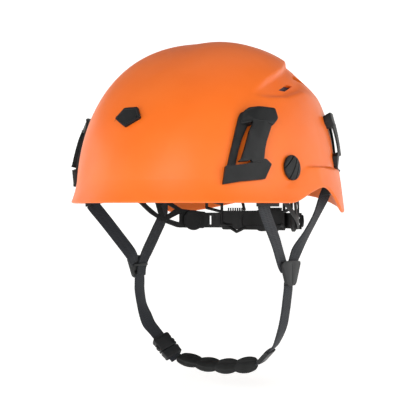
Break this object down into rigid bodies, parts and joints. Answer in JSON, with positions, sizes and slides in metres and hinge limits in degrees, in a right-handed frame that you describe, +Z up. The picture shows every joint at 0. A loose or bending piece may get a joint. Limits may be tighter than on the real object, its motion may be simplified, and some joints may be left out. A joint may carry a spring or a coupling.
{
  "type": "climbing helmet",
  "caption": "Hard-shell climbing helmet with side vents, lamp clips, dial-adjusted headband and a four-point chin strap with padded chin piece.",
  "frame": {"origin": "centre of the head opening, level with the front brim's lower edge", "axes": "+Z up, -Y towards the front, +X towards the wearer's left"},
  "size_m": [0.2252, 0.2914, 0.3092],
  "materials": {
    "shell_plastic": "satin orange moulded shell",
    "foam": "moulded bead foam",
    "webbing": "woven polyester webbing",
    "padding": "knitted foam padding",
    "soft_rubber": "moulded soft pad",
    "steel": "plain steel",
    "buckle_plastic": "moulded acetal",
    "trim_plastic": "fine textured moulding",
    "black_nylon": "moulded nylon"
  },
  "bodies": {
    "helmet": {"anchor_front_left": "black_nylon", "anchor_front_right": "black_nylon", "anchor_rear_left": "black_nylon", "anchor_rear_right": "black_nylon", "brow_pad": "padding", "buckle_plug": "buckle_plastic", "chin_pad": "soft_rubber", "chin_pad_strap": "webbing", "chin_strap_left": "webbing", "chin_strap_right": "webbing", "clip_front_left": "trim_plastic", "clip_front_right": "trim_plastic", "clip_rear_left": "trim_plastic", "clip_rear_right": "trim_plastic", "crown_pad": "padding", "divider_left": "buckle_plastic", "divider_right": "buckle_plastic", "front_badge": "trim_plastic", "headband": "black_nylon", "headband_hooks": "black_nylon", "liner_crown": "foam", "liner_front_left": "foam", "liner_front_right": "foam", "liner_rear_left": "foam", "liner_rear_right": "foam", "pivot_disc_left": "black_nylon", "pivot_disc_right": "black_nylon", "shell": "shell_plastic", "side_pads": "padding", "strap_front_left": "webbing", "strap_front_right": "webbing", "strap_rear_left": "webbing", "strap_rear_right": "webbing"},
    "slot_cover_left": {"slot_cover_left": "trim_plastic"},
    "slot_cover_right": {"slot_cover_right": "trim_plastic"},
    "cradle": {"dial_housing": "black_nylon", "nape_plate": "black_nylon", "nape_frame": "black_nylon", "detent_spring": "steel"},
    "dial": {"dial_knob": "black_nylon", "dial_pinion": "black_nylon", "dial_screw": "steel"},
    "tail_left": {"tail_left": "black_nylon"},
    "tail_right": {"tail_right": "black_nylon"},
    "buckle_socket": {"buckle_socket": "buckle_plastic"},
    "prong_upper": {"buckle_prong_upper": "buckle_plastic"},
    "prong_lower": {"buckle_prong_lower": "buckle_plastic"},
    "keeper": {"strap_keeper": "buckle_plastic"}
  },
  "joints": [
    {"name": "nape_tilt", "type": "hinge", "parent": "helmet", "child": "cradle", "pos_m": [0, 0.06, -0.0166], "axis": [1, 0, 0], "range_deg": [-7, 7]},
    {"name": "dial_turn", "type": "hinge", "parent": "cradle", "child": "dial", "pos_m": [0, 0.0946, -0.0166], "axis": [0, 1, 0], "range_deg": [-72, 72]},
    {"name": "tail_left_draw", "type": "hinge", "parent": "cradle", "child": "tail_left", "pos_m": [0, 0.005, -0.0166], "axis": [0, 0, 1], "range_deg": [-3.5, 3.5]},
    {"name": "tail_right_draw", "type": "hinge", "parent": "cradle", "child": "tail_right", "pos_m": [0, 0.005, -0.0166], "axis": [0, 0, 1], "range_deg": [-3.5, 3.5]},
    {"name": "slot_cover_left_pull", "type": "slide", "parent": "helmet", "child": "slot_cover_left", "axis": [0.9905, -0.1251, 0.0575], "range_m": [0, 0.014]},
    {"name": "slot_cover_right_pull", "type": "slide", "parent": "helmet", "child": "slot_cover_right", "axis": [-0.9905, -0.1251, 0.0575], "range_m": [0, 0.014]},
    {"name": "buckle_release", "type": "slide", "parent": "helmet", "child": "buckle_socket", "axis": [-0.7369, 0, 0.676], "range_m": [0, 0.012]},
    {"name": "prong_upper_squeeze", "type": "hinge", "parent": "helmet", "child": "prong_upper", "pos_m": [-0.04676, 0.00894, -0.13805], "axis": [-0.5852, 0.5002, -0.6382], "range_deg": [-10, 0], "stiffness_Nm_per_rad": 0.02},
    {"name": "prong_lower_squeeze", "type": "hinge", "parent": "helmet", "child": "prong_lower", "pos_m": [-0.05109, -0.00214, -0.14277], "axis": [-0.5852, 0.5002, -0.6382], "range_deg": [0, 10], "stiffness_Nm_per_rad": 0.02},
    {"name": "keeper_slide", "type": "slide", "parent": "helmet", "child": "keeper", "axis": [-0.7001, 0, -0.7141], "range_m": [-0.006, 0.004]}
  ],
  "couplings": [
    {"joint": "tail_left_draw", "follows": "dial_turn", "ratio": -0.04734},
    {"joint": "tail_right_draw", "follows": "dial_turn", "ratio": 0.04734}
  ]
}
